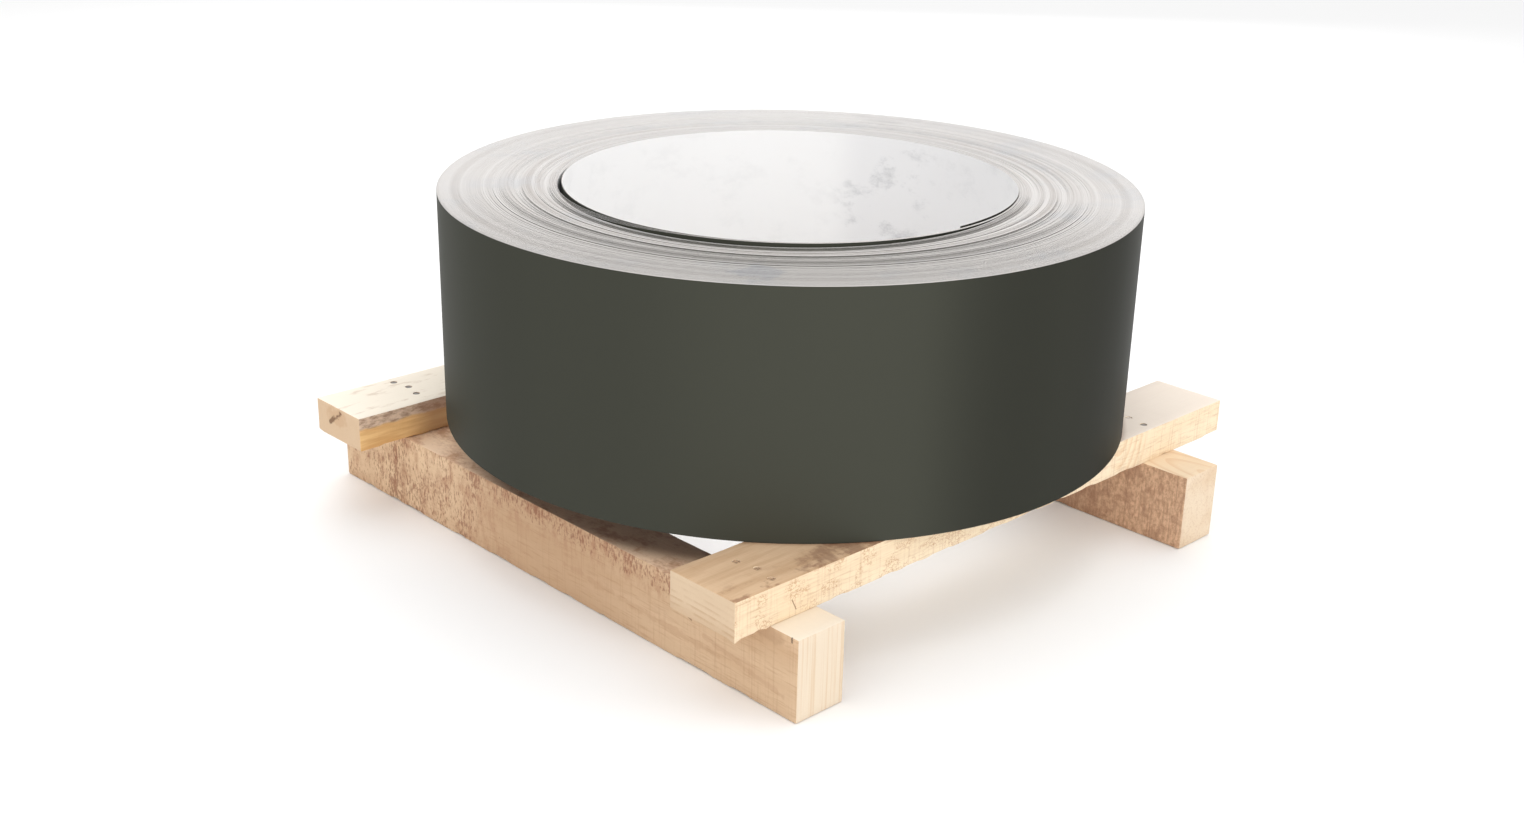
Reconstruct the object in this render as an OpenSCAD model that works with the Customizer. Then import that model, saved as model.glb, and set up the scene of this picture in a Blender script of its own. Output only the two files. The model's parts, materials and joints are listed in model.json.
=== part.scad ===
// Painted steel coil standing on end on a nailed timber skid.
// Sizes are in millimetres. The origin is on the floor, under the middle of the skid.
// +Z is up, the two boards run along X and the two bearers along Y.

/* [Coil] */
// Diameter of the bore, which goes on the mandrel of a decoiler
bore_d = 508; // [400:1:620]
// Thickness of the wound turns, from the bore to the outside
build_up = 137; // [80:1:220]
// Width of the strip, which is the height of every turn
strip_w = 262; // [120:1:400]
// Thickness of the painted strip
strip_t = 0.6; // [0.4:0.1:1.2]
// Place of the coil's axis along X, from the middle of the skid
coil_x = 6; // [-30:1:30]
// Place of the coil's axis along Y, from the middle of the skid
coil_y = -3; // [-30:1:30]

/* [Turns] */
// Thickness of the tight outer turns, whose edges are flush
flush_t = 49; // [20:1:70]
// Number of groups of inner turns that have slipped along the axis
slip_groups = 8; // [3:1:16]
// How far a group has slipped at most
slip = 2; // [0.5:0.1:5]
// Number of loose turns at the bore
loose_turns = 3; // [2:1:8]
// Widest gap behind the loose turns
loose_gap = 16; // [4:1:30]
// Direction of the widest gap, counted from +X
loose_angle = 212; // [0:1:359]
// Half of the angle over which the gap is open
loose_half_angle = 75; // [45:1:100]

/* [Bearers] */
// Width of a bearer
bearer_w = 62; // [50:1:100]
// Height of a bearer
bearer_h = 88; // [60:1:140]
// Length of a bearer
bearer_l = 780; // [720:1:1000]
// Middle of the left bearer along X
left_bearer_x = -310; // [-340:1:-250]
// Middle of the right bearer along X
right_bearer_x = 283; // [230:1:340]
// How far the left bearer is moved back, and the right one forward
bearer_stagger = 11; // [0:1:40]

/* [Boards] */
// Width of a board
board_w = 90; // [75:1:140]
// Thickness of a board
board_t = 40; // [20:1:60]
// Length of a board
board_l = 790; // [720:1:1000]
// Middle of the front board along Y
front_board_y = -297; // [-330:1:-250]
// Middle of the back board along Y
back_board_y = 309; // [250:1:330]
// How far the front board is moved to the right, and the back one to the left
board_stagger = 8; // [0:1:40]
// Flat on the long edges of the sawn timbers
arris = 1; // [0.5:0.1:4]

/* [Nails] */
// Nails in a row, across the board at each crossing
nails_in_row = 3; // [1:1:3]
// Spacing of the nails in a row
nail_pitch = 24; // [12:1:28]
// How far a row is moved towards the board's outer edge
nail_row_out = 7; // [0:1:14]
// How far every second nail is set aside, along the board
nail_aside = 5; // [0:1:10]
// Place of the front board's rows along X, from the bearer's middle
front_nail_x = -18; // [-24:1:18]
// Place of the back board's rows along X, from the bearer's middle
back_nail_x = 2; // [-20:1:18]
// Diameter of a nail's shank
nail_d = 3.4; // [2.5:0.1:5]
// Diameter of a nail's head
nail_head_d = 7.5; // [5.5:0.1:10]
// Thickness of a nail's head, which is driven flush
nail_head_t = 1.5; // [0.8:0.1:3]
// Length of a nail's point
nail_point_l = 5; // [3:0.5:10]
// How deep a nail goes into the bearer
nail_bite = 50; // [30:1:56]
// Clearance around a nail
nail_clear = 0.05; // [0.02:0.01:0.1]

/* [Hidden] */
$fn = 128;
// Length by which a cut runs past a face
over = 1;
// Turn from one slipped group to the next on the wave that sets how far each has slipped
slip_phase = 137.5;

deck_z = bearer_h + board_t;
bore_r = bore_d / 2;
outer_r = bore_r + build_up;
loose_r = bore_r + loose_turns * strip_t;
gap_offset = loose_gap / (1 - cos(loose_half_angle));
gap_r = loose_r + loose_gap - gap_offset;
group_t = (build_up - flush_t) / slip_groups;

// Radii at which one group of turns ends and the next begins
group_edges = concat([for (k = [0:slip_groups]) bore_r + k * group_t], [outer_r]);

// How far group k has slipped; the flush outer turns stay on the boards
function slip_of(k) = k < slip_groups ? slip * (1 + cos(k * slip_phase)) / 2 : 0;

// Crossings of the timbers, each with its name and the middle of its nail row
CROSSINGS = [
    ["front_left", left_bearer_x + front_nail_x, front_board_y - nail_row_out],
    ["front_right", right_bearer_x + front_nail_x, front_board_y - nail_row_out],
    ["back_left", left_bearer_x + back_nail_x, back_board_y + nail_row_out],
    ["back_right", right_bearer_x + back_nail_x, back_board_y + nail_row_out],
];

function nail_name(crossing, i) = str("nail_", crossing[0], "_", i + 1);

function nail_place(crossing, i) = [
    crossing[1] + (i % 2) * nail_aside,
    crossing[2] + (i - (nails_in_row - 1) / 2) * nail_pitch,
    deck_z,
];

// All turns of the strip as one turned ring, with the slipped groups as steps on both ends
module wound_turns() {
    top_end = [for (k = [0:slip_groups]) for (j = [0, 1]) [group_edges[k + j], strip_w + slip_of(k)]];
    bottom_end = [for (k = [slip_groups:-1:0]) for (j = [1, 0]) [group_edges[k + j], slip_of(k)]];
    rotate_extrude() polygon(concat(top_end, bottom_end));
}

// Crescent between the loose turns at the bore and the tight ones
module loose_crescent() {
    cut_h = strip_w + slip + 2 * over;
    translate([0, 0, -over]) difference() {
        rotate(loose_angle) translate([gap_offset, 0, 0]) cylinder(r = gap_r, h = cut_h);
        translate([0, 0, -over]) cylinder(r = loose_r, h = cut_h + 2 * over);
    }
}

module coil() {
    color("#4a4b44") translate([coil_x, coil_y, deck_z]) difference() {
        wound_turns();
        loose_crescent();
    }
}

// Sawn timber along Y, centred on X and Y, with its underside at z = 0
module timber(w, h, l) {
    section = [
        [-w / 2 + arris, 0], [w / 2 - arris, 0], [w / 2, arris], [w / 2, h - arris],
        [w / 2 - arris, h], [-w / 2 + arris, h], [-w / 2, h - arris], [-w / 2, arris],
    ];
    translate([0, l / 2, 0]) rotate([90, 0, 0]) linear_extrude(l) polygon(section);
}

// Wire nail with the top of its head at z = 0 and its point down
module nail() {
    shank_l = board_t + nail_bite - nail_point_l;
    translate([0, 0, -nail_head_t]) cylinder(d = nail_head_d, h = nail_head_t);
    translate([0, 0, -shank_l]) cylinder(d = nail_d, h = shank_l - nail_head_t);
    translate([0, 0, -shank_l - nail_point_l]) cylinder(d1 = 0, d2 = nail_d, h = nail_point_l);
}

// Hole that a nail makes, with a seat for its head
module nail_hole() {
    depth = board_t + nail_bite + nail_clear;
    translate([0, 0, -nail_head_t]) cylinder(d = nail_head_d + 2 * nail_clear, h = nail_head_t + over);
    translate([0, 0, -depth]) cylinder(d = nail_d + 2 * nail_clear, h = depth);
}

// A timber with the holes of the nails at the crossings that it is part of
module nailed(crossings) {
    difference() {
        children();
        for (c = crossings) for (i = [0:nails_in_row - 1]) translate(nail_place(c, i)) nail_hole();
    }
}

module bearer(x, shift, crossings) {
    color("#d9b48c") nailed(crossings) translate([x, shift, 0]) timber(bearer_w, bearer_h, bearer_l);
}

module board(y, shift, crossings) {
    color("#f0d9b8") nailed(crossings)
        translate([shift, y, bearer_h]) rotate(90) timber(board_w, board_t, board_l);
}

module bearer_left() bearer(left_bearer_x, bearer_stagger, [CROSSINGS[0], CROSSINGS[2]]);
module bearer_right() bearer(right_bearer_x, -bearer_stagger, [CROSSINGS[1], CROSSINGS[3]]);
module board_front() board(front_board_y, board_stagger, [CROSSINGS[0], CROSSINGS[1]]);
module board_back() board(back_board_y, -board_stagger, [CROSSINGS[2], CROSSINGS[3]]);

module placed_nail(crossing, i) {
    color("#6f6b66") translate(nail_place(crossing, i)) nail();
}

coil();
bearer_left();
bearer_right();
board_front();
board_back();
for (c = CROSSINGS) for (i = [0:nails_in_row - 1])
    placed_nail(c, i);
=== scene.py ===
"""Looks of a painted steel coil that stands on end on a nailed timber skid.

All lengths are metres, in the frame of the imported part: +Z up, boards along X, bearers along Y.
"""
import json
import math

import bmesh
import bpy
from mathutils import Matrix, Vector, noise


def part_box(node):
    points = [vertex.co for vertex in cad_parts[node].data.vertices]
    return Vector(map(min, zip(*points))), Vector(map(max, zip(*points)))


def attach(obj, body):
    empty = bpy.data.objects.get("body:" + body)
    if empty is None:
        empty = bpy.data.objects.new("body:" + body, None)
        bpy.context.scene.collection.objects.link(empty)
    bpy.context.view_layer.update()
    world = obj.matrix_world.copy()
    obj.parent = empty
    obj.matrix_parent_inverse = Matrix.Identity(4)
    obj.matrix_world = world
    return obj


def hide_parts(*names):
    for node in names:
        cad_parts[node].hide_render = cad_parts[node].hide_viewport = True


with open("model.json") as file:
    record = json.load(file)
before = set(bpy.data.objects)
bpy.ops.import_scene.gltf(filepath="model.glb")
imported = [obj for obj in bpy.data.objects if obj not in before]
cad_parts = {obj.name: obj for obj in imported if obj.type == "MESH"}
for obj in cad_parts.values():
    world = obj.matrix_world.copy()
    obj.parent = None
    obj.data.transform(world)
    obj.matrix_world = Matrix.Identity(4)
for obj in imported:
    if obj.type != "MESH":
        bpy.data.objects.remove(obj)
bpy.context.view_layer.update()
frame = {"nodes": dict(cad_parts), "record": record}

MM = 0.001

# Camera that took the picture, fitted to the coil's ellipses and the timbers' corners
IMAGE_WIDTH_PX = 1524
FOCAL_PX = 1775.7
SENSOR_WIDTH = 36.0
EYE = Vector((-1.3690, -1.3829, 0.8752))
EYE_AZIMUTH = math.radians(-44.142)
EYE_PITCH = math.radians(21.338)
EYE_ROLL = math.radians(1.345)

# Coil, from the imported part
BORE = next(m for m in frame["record"]["mounts"] if m["name"] == "bore")
COIL_LOW, COIL_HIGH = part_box("coil")
AXIS = Vector((BORE["pos_m"][0], BORE["pos_m"][1], 0.0))
BORE_R = BORE["dims"]["r_mm"] * MM
STRIP_W = BORE["dims"]["length_mm"] * MM
OUTER_R = (COIL_HIGH.y - COIL_LOW.y) / 2
DECK_Z = COIL_LOW.z
TOP_Z = DECK_Z + STRIP_W
STRIP_T = 0.6 * MM
COIL_SIDES = 160
RIM = 0.7 * MM
MERGE_GAP = 0.004 * MM
STRIP_SMOOTH = math.radians(30)

# A face of the strip is a slit edge when its normal's Z lies above the first value or below the second
EDGE_UP, EDGE_DOWN = 0.6, -0.8

# Paint: painted sheen in soft upright bands, and painted shade in darker bands where the paint turns from the
# light, as (angle, half width, depth), angles in degrees
PAINTED_SHEEN_BANDS = 5
PAINTED_SHEEN_ANGLE = math.radians(228)
PAINTED_SHADE_BANDS = ((270, 27, 0.42), (310, 41, 0.6), (150, 41, 0.22))

# Turns on the ends: the inner ones have slipped in groups, the outer ones are flush
FLUSH_T = 49 * MM
SLIP_GROUPS = 8
SLIP = 2.0 * MM
SLIP_PHASE = math.radians(137.5)
# Shares of the way between two groups' middles: where the step begins, and how much it takes
SLIP_STEP_START, SLIP_STEP_SHARE = 0.2, 0.6
INNER_JITTER = 0.32 * MM
FLUSH_JITTER = 0.13 * MM
JITTER_STEP = 0.45 * MM
JITTER_KEPT = 0.8
END_WAVE = 0.3 * MM
END_WAVE_TURNS = 1.5
END_WAVE_DEPTH = 30 * MM
TOP_BANDS = 82
BOTTOM_BANDS = 24

# Loose turns at the bore: two stay round, the others leave the tight turns one by one to join them
LOOSE_TURNS = 6
LOOSE_TURN_T = 0.85 * STRIP_T
INNER_PACKET = 2
LOOSE_R = BORE_R + LOOSE_TURNS * STRIP_T
LOOSE_LIFT = 2.0 * MM
LOOSE_GAP = 13 * MM
LOOSE_ANGLE = math.radians(205)
LOOSE_HALF_ANGLE = math.radians(80)
LOOSE_PUSH_DEPTH = 60 * MM
LIP_SINK = 1.2 * MM
LIP_SINK_DEPTH = 14 * MM
LIP_SINK_ANGLE = math.radians(228)
LIP_SINK_WIDTH = math.radians(62)
LEAVE_ANGLE = math.radians(166)
LEAVE_STEP = math.radians(6)
LEAVE_WIDTH = math.radians(44)
PACKET_DROP = 0.8 * MM
PACKET_DROP_ANGLE = math.radians(184)
PACKET_DROP_WIDTH = math.radians(24)
STRIP_END_ANGLE = math.radians(268)
STRIP_END_SPRING = 5 * MM
STRIP_END_REACH = math.radians(48)

# Timbers
ARRIS = 1.4 * MM
LENGTH_CUTS = 110
ACROSS_CUTS = 8
# Swellings of the sawn faces, as (width, height)
UNEVEN = ((90 * MM, 0.9 * MM), (18 * MM, 0.5 * MM))
TIMBER_SMOOTH = math.radians(35)
CHIP = 1.2 * MM
CHIPS_PER_METRE = 70.0
CHIP_LIMIT = 0.35
SPLINTER = 2.4 * MM
CORNER_SPLINTER_R = 2.6 * MM
EDGE_SPLINTER_R = 5 * MM
EDGE_SPLINTER_OUT = 7 * MM

# Sawn wood
GRAIN_STRETCH = 0.07
RING_T = 8 * MM
FIBRES_PER_METRE = 520
PORES_PER_METRE = 1300
SAW_MARKS_PER_METRE = 420.0
SAW_MARK_WAVES = 14.0

# Faces of the timbers that carry single marks
LEFT_BEARER_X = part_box("bearer_left")[0].x
FRONT_BOARD_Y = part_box("board_front")[0].y
BACK_BOARD_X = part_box("board_back")[0].x

# Distances from the coil's axis where the painted shadow on the timbers under the coil begins, and where it
# is darkest
LEFT_SHADOW_R = OUTER_R - 11 * MM
RIGHT_SHADOW_R = OUTER_R - 5 * MM
SHADOW_FULL_R = OUTER_R - 46 * MM
RIM_SHADOW_R = OUTER_R + 7 * MM
RIM_SHADOW_FULL_R = OUTER_R - 5 * MM

# Nails, and the dents that their heads are driven into
NAIL_SIDES = 24
NAIL_SUNK = 0.4 * MM
NAIL_HEAD_T = 1.5 * MM
NAIL_HEAD_ROUND = 0.5 * MM
NAIL_DIMPLE = 0.12 * MM
NAIL_DIMPLE_RIM = 1.6 * MM
NAIL_SHANK_R = 1.7 * MM
NAIL_POINT = 5 * MM
NAIL_TIP_SHARE = 0.1
NAIL_SMOOTH = math.radians(40)
SEAT_SIDES = 20
SEAT_T = 3 * MM
SEAT_RAISE = 0.3 * MM
# Cone that cuts a dent: its lower and upper radius, in radii of the nail's head
SEAT_FOOT, SEAT_MOUTH = 1.05, 1.25

# Studio: the floor, and soft lights as (name, place, target, size, power)
FLOOR_SIZE = 24.0
FLOOR_DROP = 0.5 * MM
SOFTBOXES = (
    ("overhead_softbox", (0.3, 0.3, 2.6), (0.0, 0.0, 0.2), (2.6, 2.6), 26.0),
    ("front_softbox", (-0.6, -2.8, 1.3), (0.0, 0.0, 0.2), (1.2, 2.0), 23.0),
    ("left_softbox", (-2.6, 0.3, 1.5), (0.0, 0.0, 0.2), (1.6, 1.6), 6.0),
    ("back_softbox", (2.5, 2.5, 1.3), (0.0, 0.0, 0.3), (3.2, 1.6), 18.0),
)

# No stretch along any axis
EVEN = (1.0, 1.0, 1.0)

# A face starts to look along an axis where that part of its normal is the first value, and does at the second
LOOKS_FROM, LOOKS_FULL = 0.55, 0.85


def deselect_all():
    """Leave edit mode and clear the selection, so that an operator meets only the new piece."""
    if bpy.context.object and bpy.context.object.mode != "OBJECT":
        bpy.ops.object.mode_set(mode="OBJECT")
    bpy.ops.object.select_all(action="DESELECT")


def pick(piece):
    """Make a piece the only selected and active object."""
    deselect_all()
    piece.select_set(True)
    bpy.context.view_layer.objects.active = piece


def settle(piece, name):
    """Name a piece and put its place, turn and size into its mesh."""
    pick(piece)
    bpy.ops.object.transform_apply(location=True, rotation=True, scale=True)
    piece.name = name
    piece.data.name = name
    return piece


def select_in_edit(piece, kind, wanted):
    """Select the verts, edges or faces of the piece in edit mode for which wanted() is true."""
    bpy.ops.mesh.select_mode(type=kind)
    bpy.ops.mesh.select_all(action="DESELECT")
    mesh = bmesh.from_edit_mesh(piece.data)
    for element in {"VERT": mesh.verts, "EDGE": mesh.edges, "FACE": mesh.faces}[kind]:
        if wanted(element):
            element.select_set(True)
    mesh.select_flush_mode()
    bmesh.update_edit_mesh(piece.data)


def apply_modifier(piece, kind, **settings):
    """Add a modifier with these settings and apply it."""
    pick(piece)
    modifier = piece.modifiers.new(kind.title(), kind)
    for key, value in settings.items():
        setattr(modifier, key, value)
    bpy.ops.object.modifier_apply(modifier=modifier.name)


def hump(angle, middle, width):
    """Smooth hump around the bore: 1 at the middle angle, fading over about the given width."""
    turn = math.atan2(math.sin(angle - middle), math.cos(angle - middle))
    return math.exp(-((turn / width) ** 2))


def ease(share):
    """Smooth step from 0 to 1."""
    share = min(1.0, max(0.0, share))
    return share * share * (3 - 2 * share)


# Shader helpers


def new_material(name):
    """A material with only its shader and output."""
    material = bpy.data.materials.new(name)
    material.use_nodes = True
    tree = material.node_tree
    tree.nodes.clear()
    shader = tree.nodes.new("ShaderNodeBsdfPrincipled")
    output = tree.nodes.new("ShaderNodeOutputMaterial")
    tree.links.new(shader.outputs["BSDF"], output.inputs["Surface"])
    return material, tree, shader


def feed(tree, socket, value):
    """Link a socket to another one, or set it to a plain value."""
    if isinstance(value, bpy.types.NodeSocket):
        tree.links.new(value, socket)
    else:
        socket.default_value = value


def add(tree, kind, inputs=None, **settings):
    """A new shader node with its settings and inputs; inputs are values or sockets."""
    made = tree.nodes.new("ShaderNode" + kind)
    for key, value in settings.items():
        setattr(made, key, value)
    for key, value in (inputs or {}).items():
        feed(tree, made.inputs[key], value)
    return made


def calc(tree, operation, a, b=0.0, c=0.0):
    """Result of a math node."""
    return add(tree, "Math", {0: a, 1: b, 2: c}, operation=operation).outputs[0]


def times(tree, *values):
    """Product of several values."""
    result = values[0]
    for value in values[1:]:
        result = calc(tree, "MULTIPLY", result, value)
    return result


def rise(tree, value, start, end, low=0.0, high=1.0):
    """Smooth step of a value from low at start to high at end."""
    made = add(tree, "MapRange", {"Value": value, "From Min": start, "From Max": end,
                                  "To Min": low, "To Max": high}, interpolation_type="SMOOTHSTEP")
    return made.outputs["Result"]


def blend(tree, share, first, second):
    """Mix of two colours."""
    made = add(tree, "Mix", data_type="RGBA")
    feed(tree, made.inputs[0], share)
    feed(tree, made.inputs[6], first)
    feed(tree, made.inputs[7], second)
    return made.outputs[2]


def noise_at(tree, vector, scale, detail=4.0, roughness=0.55):
    """Noise from 0 to 1 at a place."""
    made = add(tree, "TexNoise", {"Vector": vector, "Scale": scale, "Detail": detail,
                                  "Roughness": roughness})
    return made.outputs["Fac"]


def line_noise(tree, place, scale, detail=2.0):
    """Noise from 0 to 1 along one number."""
    made = add(tree, "TexNoise", {"W": place, "Scale": scale, "Detail": detail}, noise_dimensions="1D")
    return made.outputs["Fac"]


def stretched(tree, size, place=(0.0, 0.0, 0.0)):
    """Object coordinates, stretched by size along each axis and moved by place."""
    coords = add(tree, "TexCoord").outputs["Object"]
    made = add(tree, "Mapping", {"Vector": coords, "Location": place, "Scale": size})
    return made.outputs["Vector"]


def length_of(tree, vector):
    """Length of a vector."""
    return add(tree, "VectorMath", {0: vector}, operation="LENGTH").outputs["Value"]


def along_axis(tree, axis):
    """One of the object coordinates."""
    coords = add(tree, "TexCoord").outputs["Object"]
    return add(tree, "SeparateXYZ", {0: coords}).outputs[axis]


def facing(tree, axis, sign):
    """1 on faces that look along an axis, 0 elsewhere."""
    normal = add(tree, "NewGeometry").outputs["Normal"]
    side = add(tree, "SeparateXYZ", {0: normal}).outputs[axis]
    return rise(tree, calc(tree, "MULTIPLY", side, sign), LOOKS_FROM, LOOKS_FULL)


def spot(tree, centre, size, ragged=0.35, grit=90.0):
    """Soft patch around a centre, with its half size along each axis and a ragged edge."""
    scale = tuple(1 / s for s in size)
    middle = tuple(-c / s for c, s in zip(centre, size))
    away = length_of(tree, stretched(tree, scale, middle))
    edge = noise_at(tree, stretched(tree, EVEN), grit, 3.0)
    rough = calc(tree, "MULTIPLY_ADD", calc(tree, "SUBTRACT", edge, 0.5), ragged * 2, away)
    return rise(tree, rough, 1.0, 0.55)


def streak(tree, start, end, half_width, ragged=0.5, grit=260.0):
    """Mark along a straight line between two places, with a ragged edge."""
    line = Vector(end) - Vector(start)
    place = add(tree, "TexCoord").outputs["Object"]
    out = add(tree, "VectorMath", {0: place, 1: start}, operation="SUBTRACT").outputs[0]
    unit = tuple(line / line.length_squared)
    share = add(tree, "VectorMath", {0: out, 1: unit}, operation="DOT_PRODUCT").outputs["Value"]
    along = add(tree, "Clamp", {"Value": share}).outputs[0]
    foot = add(tree, "VectorMath", {0: tuple(line), "Scale": along}, operation="SCALE").outputs[0]
    gap = add(tree, "VectorMath", {0: out, 1: foot}, operation="DISTANCE").outputs["Value"]
    edge = calc(tree, "SUBTRACT", noise_at(tree, place, grit, 3.0), 0.5)
    rough = calc(tree, "MULTIPLY_ADD", edge, ragged * 2 * half_width, gap)
    return rise(tree, rough, half_width, half_width * 0.3)


def squiggles(tree, size, scale, width):
    """Thin wandering lines where a noise passes its middle."""
    wave = noise_at(tree, stretched(tree, size), scale, 3.0)
    level = calc(tree, "ABSOLUTE", calc(tree, "SUBTRACT", wave, 0.5))
    sparse = rise(tree, noise_at(tree, stretched(tree, size), scale * 0.3, 2.0), 0.46, 0.58)
    return times(tree, rise(tree, level, width, 0.0), sparse)


def ring_lines(tree, away, start, peak, drop):
    """Growth lines, one for each whole step of a distance, which darken slowly and end sharply."""
    share = calc(tree, "FRACT", away)
    return times(tree, rise(tree, share, start, peak), rise(tree, share, 1.0, drop))


def from_axis(tree):
    """Flat place from the coil's axis."""
    return stretched(tree, (1.0, 1.0, 0.0), (-AXIS.x, -AXIS.y, 0.0))


def axis_radius(tree):
    """Distance from the coil's axis."""
    return length_of(tree, from_axis(tree))


def axis_angle(tree):
    """Angle around the coil's axis, from -pi to pi."""
    flat = add(tree, "SeparateXYZ", {0: from_axis(tree)})
    return calc(tree, "ARCTAN2", flat.outputs["Y"], flat.outputs["X"])


def bumped(tree, height, distance, strength=1.0):
    """Normal of a surface with that height."""
    made = add(tree, "Bump", {"Height": height, "Distance": distance, "Strength": strength})
    return made.outputs["Normal"]


def colour(red, green, blue):
    """Linear colour of a screen colour from 0 to 255."""
    def linear(value):
        share = value / 255
        return share / 12.92 if share <= 0.04045 else ((share + 0.055) / 1.055) ** 2.4
    return (linear(red), linear(green), linear(blue), 1.0)


def tinted(tree, base, tint, *shares):
    """Base colour that turns to a tint by the product of the shares."""
    return blend(tree, times(tree, *shares), base, colour(*tint))


# Finishes of the coil


def strip_paint():
    """Olive grey satin paint on the outer face of the strip, with painted sheen in upright bands and painted
    shade at its sides.
    """
    material, tree, shader = new_material("strip_paint")
    spread = stretched(tree, (1.0, 1.0, 0.15))
    cloud = noise_at(tree, spread, 4.0, 2.0)
    # Painted sheen: lighter upright bands in the paint's colour around the coil
    swing = calc(tree, "MULTIPLY", calc(tree, "SUBTRACT", axis_angle(tree), PAINTED_SHEEN_ANGLE), PAINTED_SHEEN_BANDS)
    painted_sheen = rise(tree, calc(tree, "COSINE", swing), -1.0, 1.0)
    deep = blend(tree, cloud, colour(63, 64, 57), colour(67, 68, 60))
    tone = blend(tree, painted_sheen, deep, colour(69, 70, 62))
    # Painted shade: the colour darkens towards a dark tint in bands where the paint turns from the light
    for middle, half_width, depth in PAINTED_SHADE_BANDS:
        turned = calc(tree, "COSINE", calc(tree, "SUBTRACT", axis_angle(tree), math.radians(middle)))
        edge = math.cos(math.radians(half_width))
        tone = tinted(tree, tone, (18, 18, 16), rise(tree, turned, edge, 1.0, 0.0, depth))
    feed(tree, shader.inputs["Base Color"], tone)
    feed(tree, shader.inputs["Roughness"], rise(tree, cloud, 0.2, 0.8, 0.4, 0.5))
    shader.inputs["Specular IOR Level"].default_value = 0.02
    peel = noise_at(tree, stretched(tree, EVEN), 900.0, 2.0)
    feed(tree, shader.inputs["Normal"], bumped(tree, peel, 0.02 * MM, 0.3))
    return material


def turn_edges():
    """Slit edges of the turns, which show as fine uneven rings on both ends."""
    material, tree, shader = new_material("turn_edges")
    flat = from_axis(tree)
    radius = axis_radius(tree)
    sway = noise_at(tree, flat, 2.2, 1.0)
    wavy = calc(tree, "MULTIPLY_ADD", sway, 1.5 * MM, radius)
    broad = line_noise(tree, wavy, 90.0, 3.0)
    fine = line_noise(tree, wavy, 1100.0, 1.0)
    rings = calc(tree, "MULTIPLY_ADD", fine, 0.5, calc(tree, "MULTIPLY", broad, 0.5))
    inner = rise(tree, radius, OUTER_R - FLUSH_T + 15 * MM, BORE_R + 20 * MM, 0.45, 1.0)
    patchy = rise(tree, noise_at(tree, flat, 5.0, 2.0), 0.35, 0.7, 0.5, 1.0)
    dark = times(tree, rise(tree, rings, 0.58, 0.36), inner, patchy)
    smudge = rise(tree, noise_at(tree, flat, 9.0, 6.0, 0.7), 0.5, 0.68, 0.0, 0.55)
    bare = blend(tree, dark, colour(189, 185, 182), colour(154, 146, 140))
    bare = tinted(tree, bare, (170, 171, 174), smudge)
    front_smudge = spot(tree, (-0.26, -0.235, TOP_Z), (0.03, 0.025, 0.02), 1.2, 45.0)
    bare = tinted(tree, bare, (140, 146, 156), front_smudge, 0.4)
    feed(tree, shader.inputs["Base Color"], bare)
    feed(tree, shader.inputs["Roughness"], rise(tree, rings, 0.3, 0.7, 0.5, 0.36))
    shader.inputs["Metallic"].default_value = 0.3
    ridge = times(tree, rings, 0.35 * MM)
    feed(tree, shader.inputs["Normal"], bumped(tree, ridge, 1.0, 0.7))
    return material


def back_coat():
    """White back coat on the inner face of the strip, with faint handling smudges and a painted shade that
    greys one side of the bore.
    """
    material, tree, shader = new_material("back_coat")
    cloud = noise_at(tree, stretched(tree, (1.0, 1.0, 1.6)), 12.0, 7.0, 0.74)
    angle = axis_angle(tree)
    # Painted shade greys the white on one side of the bore, where the smudges also gather
    smudged_and_shaded_side = times(tree, rise(tree, angle, 0.62, 0.4), rise(tree, angle, -1.3, -0.6))
    white = blend(tree, smudged_and_shaded_side, colour(246, 246, 246), colour(236, 236, 237))
    reach = calc(tree, "MULTIPLY_ADD", smudged_and_shaded_side, rise(tree, angle, -0.05, 0.25, 0.08, 0.6), 0.1)
    smudge = times(tree, rise(tree, cloud, 0.5, 0.66), reach)
    feed(tree, shader.inputs["Base Color"], tinted(tree, white, (190, 191, 194), smudge))
    feed(tree, shader.inputs["Roughness"], rise(tree, cloud, 0.3, 0.7, 0.3, 0.42))
    return material


STRIP_PAINT = strip_paint()
TURN_EDGES = turn_edges()
BACK_COAT = back_coat()
PAINT_FACE, EDGE_FACE, BACK_FACE = 0, 1, 2


def dress_strip(piece):
    """Paint on the outside and the lower rim, back coat inside, bare slit edges on both ends."""
    for material in (STRIP_PAINT, TURN_EDGES, BACK_COAT):
        piece.data.materials.append(material)
    for face in piece.data.polygons:
        outward = (face.center - AXIS).to_2d().normalized()
        away = face.normal.to_2d().dot(outward)
        if face.normal.z > EDGE_UP or face.normal.z < EDGE_DOWN:
            face.material_index = EDGE_FACE
        else:
            face.material_index = PAINT_FACE if away > 0 else BACK_FACE
    pick(piece)
    bpy.ops.object.shade_smooth_by_angle(angle=STRIP_SMOOTH)
    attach(piece, "root")


# The coil


def group_slip(group):
    """How far a group of turns has slipped up along the axis."""
    if group >= SLIP_GROUPS:
        return 0.0
    return SLIP * (1 + math.cos(max(group, 0) * SLIP_PHASE)) / 2


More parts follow.
